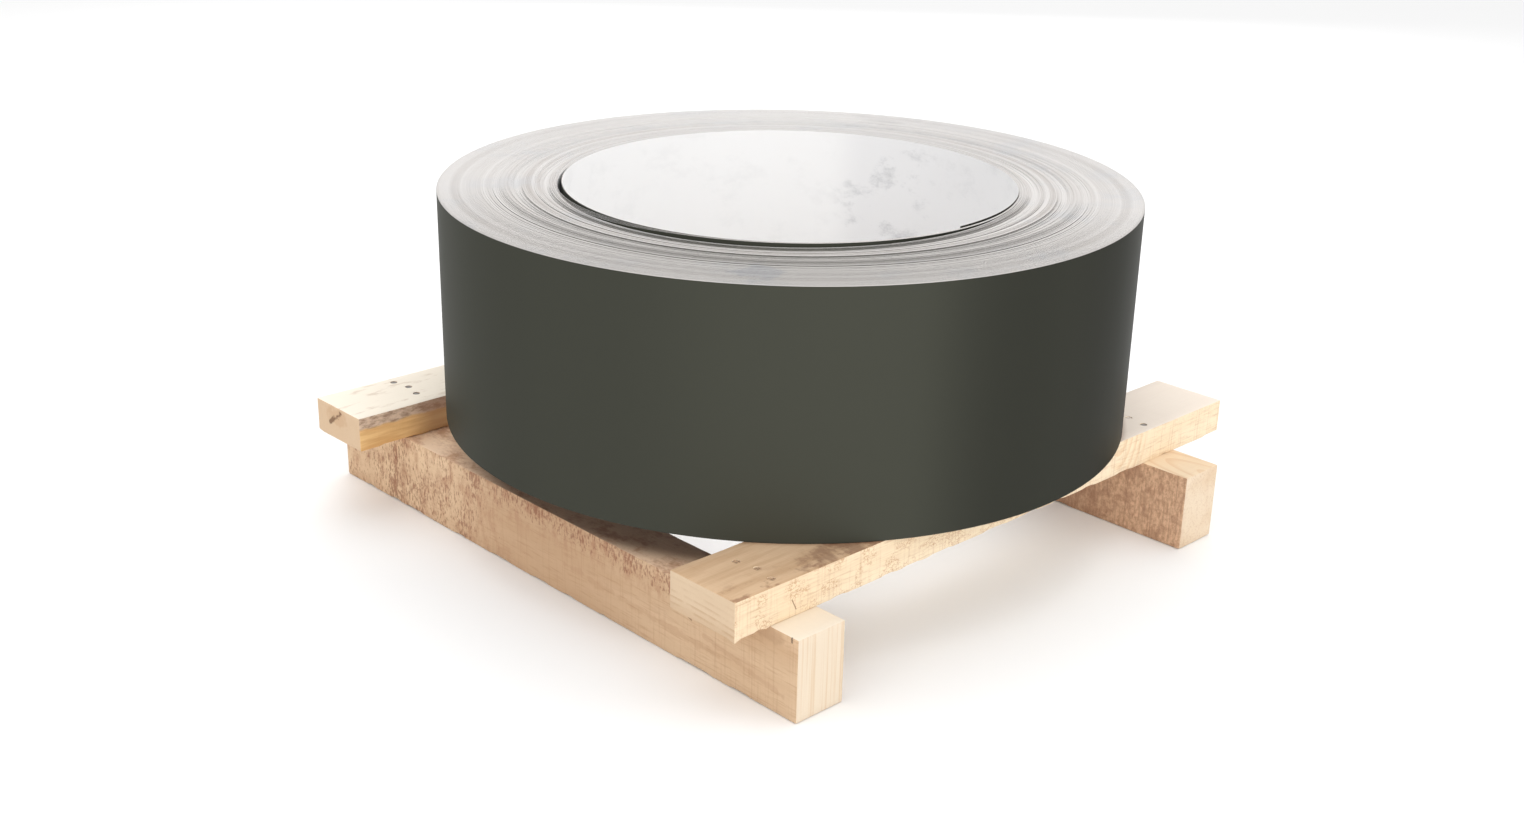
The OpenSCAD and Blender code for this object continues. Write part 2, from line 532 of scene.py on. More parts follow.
def turn_lift(radius, band):
    """Lift of a turn: each group runs into the next one, and each turn is a little off its neighbours."""
    group_t = (OUTER_R - BORE_R - FLUSH_T) / SLIP_GROUPS
    place = (radius - BORE_R) / group_t - 0.5
    group = math.floor(place)
    share = ease((place - group - SLIP_STEP_START) / SLIP_STEP_SHARE)
    lift = group_slip(group) * (1 - share) + group_slip(group + 1) * share
    flush = ease((radius - OUTER_R + FLUSH_T + group_t) / (2 * group_t))
    chance = noise.cell(Vector((radius / JITTER_STEP, 0.5, 0.5)))
    inner = INNER_JITTER * chance
    outer = FLUSH_JITTER * (band % 2) * (JITTER_KEPT + (1 - JITTER_KEPT) * chance)
    return lift + inner * (1 - flush) + outer * flush


def end_steps(level, start_r, end_r, bands):
    """Stair of flat bands and short walls across an end, as (radius, height) points."""
    steps = []
    for band in range(bands):
        first = start_r + (end_r - start_r) * band / bands
        last = start_r + (end_r - start_r) * (band + 1) / bands
        height = level + turn_lift((first + last) / 2, band)
        steps += [(first, height), (last, height)]
    return steps


def gap_radius(angle):
    """Radius of the tight turns' inner face: an eccentric circle where the loose turns leave a gap."""
    offset = LOOSE_GAP / (1 - math.cos(LOOSE_HALF_ANGLE))
    circle_r = LOOSE_R + LOOSE_GAP - offset
    turn = angle - LOOSE_ANGLE
    reach = offset * math.cos(turn) + math.sqrt(circle_r ** 2 - (offset * math.sin(turn)) ** 2)
    return max(LOOSE_R, reach)


def move_around(piece, new_place):
    """Move every vertex to the radius and lift that new_place gives for its angle, radius and height."""
    for vertex in piece.data.vertices:
        spoke = (vertex.co - AXIS).to_2d()
        angle = math.atan2(spoke.y, spoke.x) % (2 * math.pi)
        radius, height = new_place(angle, spoke.length, vertex.co.z)
        vertex.co.x = AXIS.x + radius * math.cos(angle)
        vertex.co.y = AXIS.y + radius * math.sin(angle)
        vertex.co.z = height


def tight_turns():
    """The wound ring of tight turns, spun from its half section."""
    section = [(OUTER_R, DECK_Z + RIM), (OUTER_R, TOP_Z - RIM)]
    flush_r = OUTER_R - FLUSH_T
    section += end_steps(TOP_Z, OUTER_R - RIM, flush_r, TOP_BANDS)
    section += end_steps(TOP_Z, flush_r, LOOSE_R, TOP_BANDS)
    section += end_steps(DECK_Z, LOOSE_R, flush_r, BOTTOM_BANDS)
    section += end_steps(DECK_Z, flush_r, OUTER_R - RIM, BOTTOM_BANDS)
    section.append(section[0])
    deselect_all()
    first_r, first_z = section[0]
    bpy.ops.mesh.primitive_plane_add(size=MM, location=(AXIS.x + first_r, AXIS.y, first_z))
    coil = settle(bpy.context.object, "tight_turns")
    bpy.ops.object.mode_set(mode="EDIT")
    bpy.ops.mesh.select_mode(type="VERT")
    bpy.ops.mesh.select_all(action="SELECT")
    bpy.ops.mesh.merge(type="CENTER")
    for (from_r, from_z), (to_r, to_z) in zip(section, section[1:]):
        step = (to_r - from_r, 0.0, to_z - from_z)
        bpy.ops.mesh.extrude_vertices_move(TRANSFORM_OT_translate={"value": step})
    bpy.ops.mesh.select_all(action="SELECT")
    bpy.ops.mesh.spin(steps=COIL_SIDES, angle=2 * math.pi, center=AXIS, axis=(0.0, 0.0, 1.0))
    bpy.ops.mesh.select_all(action="SELECT")
    bpy.ops.mesh.remove_doubles(threshold=MERGE_GAP)
    bpy.ops.mesh.normals_make_consistent(inside=False)
    bpy.ops.object.mode_set(mode="OBJECT")

    def pushed(angle, radius, height):
        depth = max(0.0, 1 - (radius - LOOSE_R) / LOOSE_PUSH_DEPTH)
        pushed_r = radius + (gap_radius(angle) - LOOSE_R) * depth
        if height <= TOP_Z or radius >= flush_r:
            return pushed_r, height
        spoke = Vector((math.cos(angle), math.sin(angle), 0.0)) * END_WAVE_TURNS
        wave = noise.noise(Vector((spoke.x, spoke.y, radius / END_WAVE_DEPTH)))
        near_lip = max(0.0, 1 - (radius - LOOSE_R) / LIP_SINK_DEPTH)
        sink = LIP_SINK * near_lip * hump(angle, LIP_SINK_ANGLE, LIP_SINK_WIDTH)
        return pushed_r, height + END_WAVE * wave - sink
    move_around(coil, pushed)
    dress_strip(coil)
    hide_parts("coil")


def loose_turn(number):
    """One loose turn of the strip at the bore; the innermost one has the strip's free end."""
    radius = BORE_R + (number + 0.5) * STRIP_T
    deselect_all()
    middle = (AXIS.x, AXIS.y, (DECK_Z + TOP_Z) / 2)
    bpy.ops.mesh.primitive_cylinder_add(vertices=COIL_SIDES, radius=radius, depth=STRIP_W,
                                        end_fill_type="NOTHING", location=middle)
    turn = settle(bpy.context.object, "loose_turn_%d" % (number + 1))
    if number == 0:
        bpy.ops.object.mode_set(mode="EDIT")
        slot = 2 * math.pi / COIL_SIDES

        def at_strip_end(face):
            spoke = face.calc_center_median() - AXIS
            return hump(math.atan2(spoke.y, spoke.x), STRIP_END_ANGLE, slot) > 0.5
        select_in_edit(turn, "FACE", at_strip_end)
        bpy.ops.mesh.delete(type="FACE")
        bpy.ops.object.mode_set(mode="OBJECT")

    def parted(angle, turn_r, height):
        level = height + LOOSE_LIFT
        if number == 0:
            past_end = (angle - STRIP_END_ANGLE) % (2 * math.pi)
            return turn_r - STRIP_END_SPRING * (1 - ease(past_end / STRIP_END_REACH)), level
        if number < INNER_PACKET:
            return turn_r, level
        leaves = LEAVE_ANGLE + (number - INNER_PACKET) * LEAVE_STEP
        kept = 1 - ease((angle - leaves) / LEAVE_WIDTH + 0.5)
        drop = PACKET_DROP * hump(angle, PACKET_DROP_ANGLE, PACKET_DROP_WIDTH)
        return turn_r + kept * (gap_radius(angle) - LOOSE_R), level - drop
    move_around(turn, parted)
    apply_modifier(turn, "SOLIDIFY", thickness=LOOSE_TURN_T, offset=0.0)
    dress_strip(turn)


# Finishes of the timbers


def end_grain(tree, along):
    """1 on the two sawn ends of a timber, 0 elsewhere."""
    normal = add(tree, "NewGeometry").outputs["Normal"]
    side = add(tree, "SeparateXYZ", {0: normal}).outputs[along]
    return rise(tree, calc(tree, "ABSOLUTE", side), LOOKS_FROM, LOOKS_FULL)


def start_wood(name, along, seed, pale, tan, line, ring_share=1.0):
    """Sawn wood: tone and grain lines along the length, fine fibre, pores and saw marks across it."""
    material, tree, shader = new_material(name)
    length = "XY".index(along)
    grain = Vector(EVEN)
    grain[length] = GRAIN_STRETCH
    lengthwise = stretched(tree, tuple(grain), (seed, seed * 1.7, seed * 0.6))
    tone = noise_at(tree, lengthwise, 17.0, 4.0)
    base = blend(tree, rise(tree, tone, 0.32, 0.68), colour(*pale), colour(*tan))
    warp = add(tree, "TexNoise", {"Vector": lengthwise, "Scale": 9.0, "Detail": 2.0}).outputs["Color"]
    sway = add(tree, "VectorMath", {0: warp, "Scale": 0.09}, operation="SCALE").outputs[0]
    across = Vector(EVEN)
    across[length] = 0.0
    flat = stretched(tree, tuple(across))
    bent = add(tree, "VectorMath", {0: flat, 1: sway}, operation="ADD").outputs[0]
    ring = ring_lines(tree, calc(tree, "DIVIDE", length_of(tree, bent), RING_T), 0.45, 0.9, 0.94)
    faint = rise(tree, noise_at(tree, lengthwise, 23.0, 2.0), 0.42, 0.7, 0.08, 0.5)
    ends = rise(tree, end_grain(tree, along), 0.0, 1.0, 1.0, 0.2)
    base = tinted(tree, base, line, ring, faint, ends, ring_share)
    fibre = noise_at(tree, stretched(tree, tuple(grain * FIBRES_PER_METRE)), 1.0, 3.0)
    base = tinted(tree, base, line, rise(tree, fibre, 0.48, 0.76, 0.0, 0.42))
    pores = noise_at(tree, stretched(tree, tuple(grain * PORES_PER_METRE)), 1.0, 2.0)
    base = tinted(tree, base, line, rise(tree, pores, 0.64, 0.78, 0.0, 0.3))
    cuts = Vector(EVEN) * SAW_MARK_WAVES
    cuts[length] = SAW_MARKS_PER_METRE
    saw = noise_at(tree, stretched(tree, tuple(cuts)), 1.0, 2.0)
    base = tinted(tree, base, line, rise(tree, saw, 0.5, 0.72, 0.0, 0.24))
    height = calc(tree, "MULTIPLY_ADD", saw, 0.7, times(tree, fibre, 0.8))
    return material, tree, shader, base, calc(tree, "MULTIPLY_ADD", ring, 0.2, height)


def finish_wood(tree, shader, base, height):
    """Dry, dull surface with the saw marks and fibre as bump."""
    feed(tree, shader.inputs["Base Color"], base)
    feed(tree, shader.inputs["Roughness"], rise(tree, height, 0.4, 1.1, 0.85, 0.68))
    shader.inputs["Specular IOR Level"].default_value = 0.2
    feed(tree, shader.inputs["Normal"], bumped(tree, height, 0.4 * MM, 0.6))


def speckle(tree, reach):
    """Fine upright specks of dirt, denser in clouds and where reach is high."""
    cloud = noise_at(tree, stretched(tree, (1.0, 1.0, 0.7)), 26.0, 3.0)
    grit = noise_at(tree, stretched(tree, (1.0, 1.0, 0.42)), 340.0, 3.0, 0.6)
    limit = calc(tree, "SUBTRACT", 0.78, calc(tree, "MULTIPLY", times(tree, cloud, reach), 0.56))
    over = calc(tree, "SUBTRACT", grit, limit)
    return times(tree, rise(tree, over, 0.0, 0.12), rise(tree, reach, 0.0, 0.3))


def painted_shadow_under_coil(tree, base, top, start_r):
    """Painted shadow: dark colour on top of a bearer, under the coil."""
    # Painted shadow: the top darkens towards the coil's axis
    painted_shadow = rise(tree, axis_radius(tree), start_r, SHADOW_FULL_R)
    return tinted(tree, base, (68, 45, 35), top, painted_shadow, 0.78)


def left_bearer_wood():
    """Tan bearer: reddish specks at the back and along its upper edge, and a painted shadow on top under the
    coil.
    """
    material, tree, shader, base, height = start_wood(
        "left_bearer_wood", "Y", 0.3, (222, 193, 160), (206, 173, 139), (176, 134, 102), 0.4)
    along, up = along_axis(tree, "Y"), along_axis(tree, "Z")
    top, outer, end = facing(tree, "Z", 1.0), facing(tree, "X", -1.0), facing(tree, "Y", -1.0)

    def side_mark(first, last, half_width, ragged=0.5, grit=260.0):
        """Mark on the outer side between two places along and up it."""
        start, finish = (LEFT_BEARER_X, *first), (LEFT_BEARER_X, *last)
        return streak(tree, start, finish, half_width, ragged, grit)

    patchy = noise_at(tree, stretched(tree, (1.0, 0.8, 1.0)), 19.0, 2.0)
    paler = times(tree, rise(tree, along, 0.08, 0.24), rise(tree, patchy, 0.4, 0.6, 0.3, 0.8))
    base = tinted(tree, base, (230, 201, 166), outer, paler)
    middle = times(tree, rise(tree, along, -0.24, -0.04), rise(tree, along, 0.22, 0.06))
    base = tinted(tree, base, (180, 138, 102), outer, middle, 0.4)
    # Top: mottled tan, paler towards its front end beyond the front board
    top_mottle = noise_at(tree, stretched(tree, (1.0, 0.6, 1.0)), 48.0, 6.0, 0.72)
    top_tone = blend(tree, rise(tree, top_mottle, 0.46, 0.66), colour(244, 214, 184), colour(200, 158, 128))
    top_tone = tinted(tree, top_tone, (238, 227, 209), rise(tree, along, -0.325, -0.345))
    base = blend(tree, times(tree, top, 0.88), base, top_tone)
    base = tinted(tree, base, (230, 215, 194), end, 0.9)
    end_saw = noise_at(tree, stretched(tree, (420.0, 1.0, 5.0)), 1.0, 3.0)
    base = tinted(tree, base, (212, 180, 142), end, rise(tree, end_saw, 0.46, 0.68, 0.0, 0.5))
    back_part = rise(tree, along, 0.0, 0.17, 0.0, 0.9)
    upper_edge = times(tree, rise(tree, up, 0.036, 0.08), rise(tree, along, -0.27, -0.2))
    seam = times(tree, side_mark((0.29, 0.075), (0.296, 0.004), 9 * MM), 1.2)
    reach = calc(tree, "MAXIMUM", calc(tree, "MAXIMUM", back_part, upper_edge), seam)
    mottle = noise_at(tree, stretched(tree, (1.0, 1.0, 0.6)), 70.0, 6.0, 0.75)
    base = tinted(tree, base, (172, 122, 94), outer, reach, rise(tree, mottle, 0.44, 0.64, 0.0, 0.6))
    dirt = times(tree, speckle(tree, reach), rise(tree, outer, 0.0, 1.0, 0.15, 1.0))
    base = tinted(tree, base, (146, 97, 74), dirt, 0.68)
    # Painted shadow on top, under the coil
    base = painted_shadow_under_coil(tree, base, top, LEFT_SHADOW_R)
    long_stain = side_mark((-0.03, 0.036), (-0.27, 0.026), 5 * MM, 1.8, 80.0)
    low_stain = side_mark((-0.25, 0.04), (-0.36, 0.022), 4 * MM, 1.8, 90.0)
    base = tinted(tree, base, (170, 122, 92), calc(tree, "MAXIMUM", long_stain, low_stain), 0.2)
    # Painted shadow on the outer side, under the front board's overhang
    painted_shadow_under_board = side_mark((-0.312, 0.08), (-0.352, 0.08), 13 * MM, 0.8, 60.0)
    base = tinted(tree, base, (150, 108, 80), outer, painted_shadow_under_board, 0.3)
    fleck = side_mark((-0.227, 0.052), (-0.2315, 0.0505), 1.5 * MM, 0.4)
    base = tinted(tree, base, (112, 72, 50), fleck, 0.6)
    notch = side_mark((-0.37, 0.089), (-0.3705, 0.083), 1.6 * MM, 0.3)
    base = tinted(tree, base, (70, 58, 50), notch, 0.75)
    finish_wood(tree, shader, base, height)
    return material


def right_bearer_wood():
    """Pale bearer with arched grain on top and a brown, rough sawn inner side."""
    material, tree, shader, base, height = start_wood(
        "right_bearer_wood", "Y", 1.9, (230, 211, 186), (220, 194, 164), (186, 147, 114))
    top, inner = facing(tree, "Z", 1.0), facing(tree, "X", -1.0)
    base = tinted(tree, base, (238, 214, 182), top, 0.7)
    bent = length_of(tree, stretched(tree, (90.0, 24.0, 0.0), (-25.5, 10.4, 0.0)))
    base = tinted(tree, base, (212, 166, 118), top, ring_lines(tree, bent, 0.5, 0.92, 0.94), 0.32)
    blotch = noise_at(tree, stretched(tree, (1.0, 1.0, 0.6)), 210.0, 7.0, 0.8)
    rough = blend(tree, rise(tree, blotch, 0.36, 0.68), colour(232, 194, 160), colour(176, 132, 103))
    patches = noise_at(tree, stretched(tree, EVEN), 48.0, 5.0, 0.65)
    rough = tinted(tree, rough, (146, 100, 76), rise(tree, patches, 0.46, 0.62, 0.0, 0.45))
    # Painted shade: the rough inner side darkens towards the coil
    painted_shade_towards_coil = rise(tree, along_axis(tree, "Y"), -0.35, -0.2, 0.0, 0.6)
    rough = tinted(tree, rough, (138, 96, 72), painted_shade_towards_coil)
    saw_lines = noise_at(tree, stretched(tree, (1.0, 330.0, 9.0)), 1.0, 3.0)
    rough = tinted(tree, rough, (148, 105, 80), rise(tree, saw_lines, 0.5, 0.68, 0.0, 0.42))
    base = blend(tree, times(tree, inner, 0.92), base, rough)
    # Painted shadow on top, under the coil
    base = painted_shadow_under_coil(tree, base, top, RIGHT_SHADOW_R)
    finish_wood(tree, shader, base, height)
    return material


def front_board_wood():
    """Board that is browner on top at its left, with flecks, a check and a knot's arcs on its side."""
    material, tree, shader, base, height = start_wood(
        "front_board_wood", "X", 3.1, (246, 228, 198), (238, 215, 182), (188, 142, 104), 0.35)
    along, up = along_axis(tree, "X"), along_axis(tree, "Z")
    top, side, end = facing(tree, "Z", 1.0), facing(tree, "Y", -1.0), facing(tree, "X", -1.0)
    low_end = rise(tree, up, 0.106, 0.09, 0.0, 0.6)
    end_wood = blend(tree, low_end, colour(216, 190, 160), colour(198, 165, 132))
    base = blend(tree, times(tree, end, 0.85), base, end_wood)
    heart = length_of(tree, stretched(tree, (0.0, 60.0, 150.0), (0.0, 16.2, 4.5)))
    growth = ring_lines(tree, heart, 0.4, 0.9, 0.94)
    uneven = rise(tree, noise_at(tree, stretched(tree, EVEN), 60.0, 4.0), 0.35, 0.65, 0.0, 0.4)
    lower = rise(tree, up, 0.122, 0.1, 0.3, 1.0)
    base = tinted(tree, base, (176, 136, 100), end, growth, uneven, lower)
    right_half = rise(tree, along, -0.1, 0.25)
    base = tinted(tree, base, (237, 225, 213), top, right_half, 0.9)
    brown = times(tree, top, calc(tree, "SUBTRACT", 1.0, right_half))
    grain = noise_at(tree, stretched(tree, (9.0, 90.0, 90.0)), 1.0, 4.0, 0.6)
    stain = blend(tree, rise(tree, grain, 0.35, 0.66), colour(210, 176, 141), colour(192, 155, 119))
    base = blend(tree, times(tree, brown, 0.85), base, stain)
    rim = rise(tree, along_axis(tree, "Y"), -0.3, -0.336)
    blotch = noise_at(tree, stretched(tree, (0.7, 1.0, 1.0)), 60.0, 5.0, 0.65)
    base = tinted(tree, base, (134, 94, 70), brown, rim, rise(tree, blotch, 0.5, 0.64), 0.6)
    by_coil = spot(tree, (-0.235, -0.33, DECK_Z), (0.065, 0.028, 0.02), 0.6)
    dragged = noise_at(tree, stretched(tree, (90.0, 40.0, 1.0)), 1.0, 5.0, 0.7)
    base = tinted(tree, base, (120, 84, 64), brown, by_coil, rise(tree, dragged, 0.36, 0.58, 0.12, 0.6))
    # Painted shadow: a thin brown line on the board's top along the coil's rim
    shade = rise(tree, axis_radius(tree), RIM_SHADOW_R, RIM_SHADOW_FULL_R)
    base = tinted(tree, base, (122, 80, 54), top, shade, 0.7)
    marks = squiggles(tree, (1.0, 1.0, 1.2), 190.0, 0.05)
    base = tinted(tree, base, (186, 132, 86), side, marks, rise(tree, along, 0.2, -0.05, 0.15, 0.6))
    check_start, check_end = (-0.3139, FRONT_BOARD_Y, 0.1064), (-0.3082, FRONT_BOARD_Y, 0.095)
    base = tinted(tree, base, (130, 90, 60), streak(tree, check_start, check_end, 0.9 * MM, 0.3), 0.75)
    curved = length_of(tree, stretched(tree, (110.0, 0.0, 60.0), (-22.0, 0.0, -8.6)))
    arcs = ring_lines(tree, curved, 0.3, 0.85, 0.9)
    knot = spot(tree, (0.222, FRONT_BOARD_Y, 0.108), (0.04, 0.03, 0.03))
    base = tinted(tree, base, (214, 160, 98), side, arcs, knot, 0.3)
    finish_wood(tree, shader, base, height)
    return material


def back_board_wood():
    """Board with a split knot in its left end, and a waney grey band over golden wood inside."""
    material, tree, shader, base, height = start_wood(
        "back_board_wood", "X", 5.7, (248, 224, 194), (238, 210, 176), (190, 144, 106))
    top, inner, end = facing(tree, "Z", 1.0), facing(tree, "Y", -1.0), facing(tree, "X", -1.0)
    base = tinted(tree, base, (249, 240, 225), top, 0.92)
    strokes = noise_at(tree, stretched(tree, (30.0, 90.0, 1.0)), 1.0, 4.0, 0.6)
    base = tinted(tree, base, (196, 172, 148), top, rise(tree, strokes, 0.54, 0.68, 0.0, 0.42))
    base = tinted(tree, base, (212, 183, 151), end, 0.85)
    gold_grain = noise_at(tree, stretched(tree, (12.0, 60.0, 160.0)), 1.0, 4.0, 0.6)
    gold = blend(tree, rise(tree, gold_grain, 0.35, 0.7), colour(246, 204, 140), colour(220, 168, 104))
    base = blend(tree, times(tree, inner, 0.88), base, gold)
    waver = noise_at(tree, stretched(tree, (1.0, 0.0, 0.0)), 22.0, 3.0)
    level = calc(tree, "MULTIPLY_ADD", waver, -0.014, along_axis(tree, "Z"))
    bark = noise_at(tree, stretched(tree, (0.6, 1.0, 1.6)), 150.0, 6.0, 0.7)
    wane = blend(tree, rise(tree, bark, 0.38, 0.66), colour(224, 198, 174), colour(168, 138, 116))
    base = blend(tree, times(tree, inner, rise(tree, level, 0.105, 0.109)), base, wane)
    # Painted shade: the inner side browns towards the coil
    painted_shade_near_coil = rise(tree, along_axis(tree, "X"), -0.345, -0.3)
    base = tinted(tree, base, (150, 108, 82), inner, painted_shade_near_coil, 0.6)
    halo = spot(tree, (BACK_BOARD_X, 0.312, 0.116), (0.02, 0.026, 0.013), 0.6, 110.0)
    base = tinted(tree, base, (186, 140, 98), halo, 0.28)
    knot_start, knot_end = (BACK_BOARD_X, 0.327, 0.107), (BACK_BOARD_X, 0.302, 0.1225)
    knot = streak(tree, knot_start, knot_end, 3.4 * MM, 1.5, 150.0)
    base = tinted(tree, base, (112, 78, 54), knot, 0.8)
    finish_wood(tree, shader, base, height)
    return material


def dusty_nail(name, bare, dusted):
    """Nail head dulled by sawdust, of which some bare metal shows through."""
    material, tree, shader = new_material(name)
    dust = noise_at(tree, stretched(tree, EVEN), 500.0, 4.0)
    shade = blend(tree, rise(tree, dust, 0.42, 0.6), bare, dusted)
    feed(tree, shader.inputs["Base Color"], shade)
    feed(tree, shader.inputs["Roughness"], rise(tree, dust, 0.3, 0.7, 0.6, 0.85))
    shader.inputs["Metallic"].default_value = 0.1
    return material


def nail_steel():
    """Dull wire nail with a trace of rust."""
    material, tree, shader = new_material("nail_steel")
    rust = rise(tree, noise_at(tree, stretched(tree, EVEN), 420.0, 4.0), 0.5, 0.7, 0.0, 0.6)
    feed(tree, shader.inputs["Base Color"], blend(tree, rust, colour(124, 119, 114), colour(100, 76, 60)))
    feed(tree, shader.inputs["Roughness"], rise(tree, rust, 0.0, 0.6, 0.42, 0.75))
    shader.inputs["Metallic"].default_value = 0.8
    return material


# Timbers


def nail_nodes(board_name):
    """Names of the nails that are driven through a board."""
    side = board_name.split("_")[1]
    return [n for n in sorted(frame["nodes"]) if n.startswith("nail_" + side)]


def cut_nail_seats(board, board_name):
    """Shallow dents that the nail heads are driven into."""
    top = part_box(board_name)[1].z
    seats = []
    for name in nail_nodes(board_name):
        low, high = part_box(name)
        head_r = (high.x - low.x) / 2
        place = ((low.x + high.x) / 2, (low.y + high.y) / 2, top + SEAT_RAISE)
        deselect_all()
        bpy.ops.mesh.primitive_cone_add(vertices=SEAT_SIDES, radius1=head_r * SEAT_FOOT,
                                        radius2=head_r * SEAT_MOUTH, depth=SEAT_T, location=place)
        seats.append(bpy.context.object)
    pick(seats[0])
    for seat in seats:
        seat.select_set(True)
    bpy.ops.object.join()
    cutter = settle(bpy.context.object, "nail_seats")
    apply_modifier(board, "BOOLEAN", operation="DIFFERENCE", object=cutter, solver="EXACT")
    bpy.data.objects.remove(cutter)


def chip_lower_edges(piece, low, high, across):
    """Knock small chips out of the two lower long edges."""
    def chipped(vertex):
        place = vertex.co
        at_edge = min(place[across] - low[across], high[across] - place[across]) < 2 * ARRIS
        chance = noise.cell(Vector((place.x, place.y, 0.0)) * CHIPS_PER_METRE)
        return place.z < low.z + 2 * ARRIS and at_edge and chance > CHIP_LIMIT
    select_in_edit(piece, "VERT", chipped)
    bpy.ops.transform.translate(value=(0.0, 0.0, CHIP))


def pull_splinters(piece, low):
    """Draw out two splinters under the front board: at its near corner and above the bearer's edge."""
    near_corner = Vector((low.x, low.y, low.z))
    bearer_edge = Vector((LEFT_BEARER_X - EDGE_SPLINTER_OUT, low.y, low.z))
    for foot, reach in ((near_corner, CORNER_SPLINTER_R), (bearer_edge, EDGE_SPLINTER_R)):
        select_in_edit(piece, "VERT", lambda vertex: (vertex.co - foot).length < reach)
        bpy.ops.transform.translate(value=(0.0, 0.0, -SPLINTER))


def timber(name, along, material):
    """A sawn timber in the place of its node, with eased arrises and slightly uneven faces."""
    low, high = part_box(name)
    deselect_all()
    bpy.ops.mesh.primitive_cube_add(size=1.0, location=(low + high) / 2)
    piece = bpy.context.object
    piece.scale = high - low
    settle(piece, name + "_wood")
    axis = "XY".index(along)
    bpy.ops.object.mode_set(mode="EDIT")
    bpy.ops.mesh.select_all(action="SELECT")
    bpy.ops.mesh.bevel(offset=ARRIS, segments=2, affect="EDGES")
    long_edge = 0.9 * (high - low)[axis]

    def runs_along(edge):
        span = edge.verts[0].co - edge.verts[1].co
        return abs(span[axis]) > long_edge

    def runs_across(edge):
        span = edge.verts[0].co - edge.verts[1].co
        return abs(span[axis]) < 1e-6 and span.length > 10 * ARRIS
    select_in_edit(piece, "EDGE", runs_along)
    bpy.ops.mesh.subdivide(number_cuts=LENGTH_CUTS)
    select_in_edit(piece, "EDGE", runs_across)
    bpy.ops.mesh.subdivide(number_cuts=ACROSS_CUTS)
    bpy.ops.object.mode_set(mode="OBJECT")
    for scale, strength in UNEVEN:
        clouds = bpy.data.textures.new(name + "_uneven", "CLOUDS")
        clouds.noise_scale = scale
        apply_modifier(piece, "DISPLACE", texture=clouds, strength=strength, mid_level=0.5,
                       texture_coords="LOCAL")
    pick(piece)
    bpy.ops.object.mode_set(mode="EDIT")
    chip_lower_edges(piece, low, high, 1 - axis)
    if name == "board_front":
        pull_splinters(piece, low)
    bpy.ops.object.mode_set(mode="OBJECT")
    if name.startswith("board"):
        cut_nail_seats(piece, name)
    pick(piece)
    bpy.ops.object.shade_smooth_by_angle(angle=TIMBER_SMOOTH)
    piece.data.materials.append(material)
    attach(piece, "root")
    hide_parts(name)


# Nails


def master_nail(low, high):
    """A wire nail at the place of one packed nail: sunken head, straight shank and tapered point."""
    head_r = (high.x - low.x) / 2
    middle_x, middle_y = (low.x + high.x) / 2, (low.y + high.y) / 2
    top = high.z - NAIL_SUNK
    neck = top - NAIL_HEAD_T
    deselect_all()
    bpy.ops.mesh.primitive_cylinder_add(vertices=NAIL_SIDES, radius=head_r, depth=NAIL_HEAD_T,
                                        location=(middle_x, middle_y, top - NAIL_HEAD_T / 2))
    nail = settle(bpy.context.object, "nail")
    bpy.ops.object.mode_set(mode="EDIT")
    select_in_edit(nail, "FACE", lambda face: face.normal.z > 0.9)
    bpy.ops.mesh.bevel(offset=NAIL_HEAD_ROUND, segments=2, affect="EDGES")
    select_in_edit(nail, "FACE", lambda face: face.normal.z > 0.99 and len(face.verts) > 8)
    bpy.ops.mesh.inset(thickness=NAIL_DIMPLE_RIM, depth=-NAIL_DIMPLE)
    select_in_edit(nail, "FACE", lambda face: face.normal.z < -0.9)
    bpy.ops.mesh.inset(thickness=head_r - NAIL_SHANK_R)
    for drop in (neck - low.z - NAIL_POINT, NAIL_POINT):
        bpy.ops.mesh.extrude_region_move(TRANSFORM_OT_translate={"value": (0.0, 0.0, -drop)})
    bpy.ops.transform.resize(value=(NAIL_TIP_SHARE, NAIL_TIP_SHARE, 1.0),
                             center_override=(middle_x, middle_y, low.z))
    bpy.ops.object.mode_set(mode="OBJECT")
    bpy.ops.object.shade_smooth_by_angle(angle=NAIL_SMOOTH)
    return nail


def drive_nails():
    """One nail for each packed nail, all of one shape; five on the front board are dusty."""
    steel = nail_steel()
    brown = dusty_nail("brown_nail", colour(140, 112, 88), colour(200, 166, 132))
    pale = dusty_nail("pale_nail", colour(206, 192, 180), colour(234, 222, 210))
    finishes = {"nail_front_left_1": brown, "nail_front_left_2": brown, "nail_front_left_3": brown,
                "nail_front_right_2": pale, "nail_front_right_3": pale}
    names = [n for n in sorted(frame["nodes"]) if n.startswith("nail_")]
    first_low, first_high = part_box(names[0])
    master = master_nail(first_low, first_high)
    for name in names:
        low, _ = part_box(name)
        piece = master if name == names[0] else master.copy()
        if piece is not master:
            piece.data = master.data.copy()
            piece.data.materials.clear()
            piece.data.transform(Matrix.Translation(low - first_low))
            bpy.context.scene.collection.objects.link(piece)
        piece.data.materials.append(finishes.get(name, steel))
        piece.name = name + "_wire"
        piece.data.name = piece.name
        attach(piece, "root")
        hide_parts(name)


# Stage


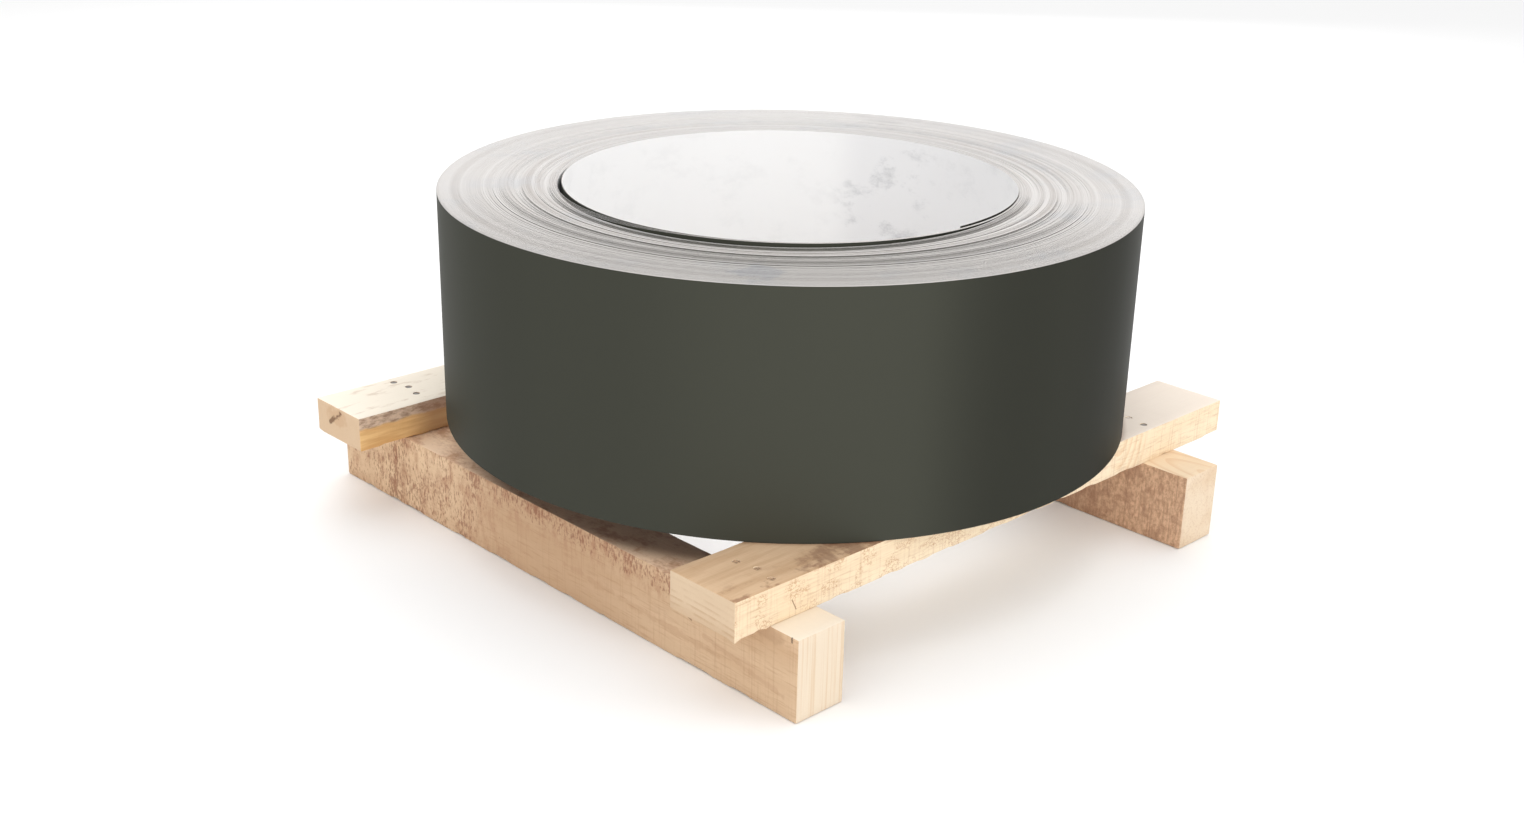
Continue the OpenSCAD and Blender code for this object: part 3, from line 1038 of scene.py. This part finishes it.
def softbox(name, place, target, size, power):
    """A rectangular soft light that looks at a target."""
    lamp = bpy.data.lights.new(name, "AREA")
    lamp.shape = "RECTANGLE"
    lamp.size, lamp.size_y = size
    lamp.energy = power
    holder = bpy.data.objects.new(name, lamp)
    holder.location = place
    holder.rotation_euler = (Vector(target) - Vector(place)).to_track_quat("-Z", "Y").to_euler()
    bpy.context.scene.collection.objects.link(holder)


def studio():
    """Pale floor, soft light all round and the camera of the picture."""
    deselect_all()
    bpy.ops.mesh.primitive_plane_add(size=FLOOR_SIZE, location=(0.0, 0.0, -FLOOR_DROP))
    floor = settle(bpy.context.object, "studio_floor")
    material, _, shader = new_material("studio_floor")
    shader.inputs["Base Color"].default_value = (0.92, 0.92, 0.92, 1.0)
    shader.inputs["Roughness"].default_value = 0.9
    shader.inputs["Specular IOR Level"].default_value = 0.1
    floor.data.materials.append(material)

    world = bpy.data.worlds.new("studio_air")
    world.use_nodes = True
    tree = world.node_tree
    air = tree.nodes["Background"]
    air.inputs["Color"].default_value = (1.0, 1.0, 1.0, 1.0)
    up = add(tree, "SeparateXYZ", {0: add(tree, "TexCoord").outputs["Generated"]}).outputs["Z"]
    feed(tree, air.inputs["Strength"], rise(tree, up, 0.0, 0.9, 0.62, 1.1))
    bpy.context.scene.world = world
    bpy.context.scene.view_settings.view_transform = "Standard"

    for settings in SOFTBOXES:
        softbox(*settings)

    lens = bpy.data.cameras.new("picture_camera")
    lens.sensor_width = SENSOR_WIDTH
    lens.lens = SENSOR_WIDTH * FOCAL_PX / IMAGE_WIDTH_PX
    camera = bpy.data.objects.new("picture_camera", lens)
    bpy.context.scene.collection.objects.link(camera)
    turn = Matrix.Rotation(EYE_AZIMUTH, 4, "Z") @ Matrix.Rotation(math.pi / 2 - EYE_PITCH, 4, "X")
    camera.matrix_world = Matrix.Translation(EYE) @ turn @ Matrix.Rotation(EYE_ROLL, 4, "Z")
    bpy.context.scene.camera = camera


tight_turns()
for turn_number in range(LOOSE_TURNS):
    loose_turn(turn_number)
timber("bearer_left", "Y", left_bearer_wood())
timber("bearer_right", "Y", right_bearer_wood())
timber("board_front", "X", front_board_wood())
timber("board_back", "X", back_board_wood())
drive_nails()
studio()
deselect_all()
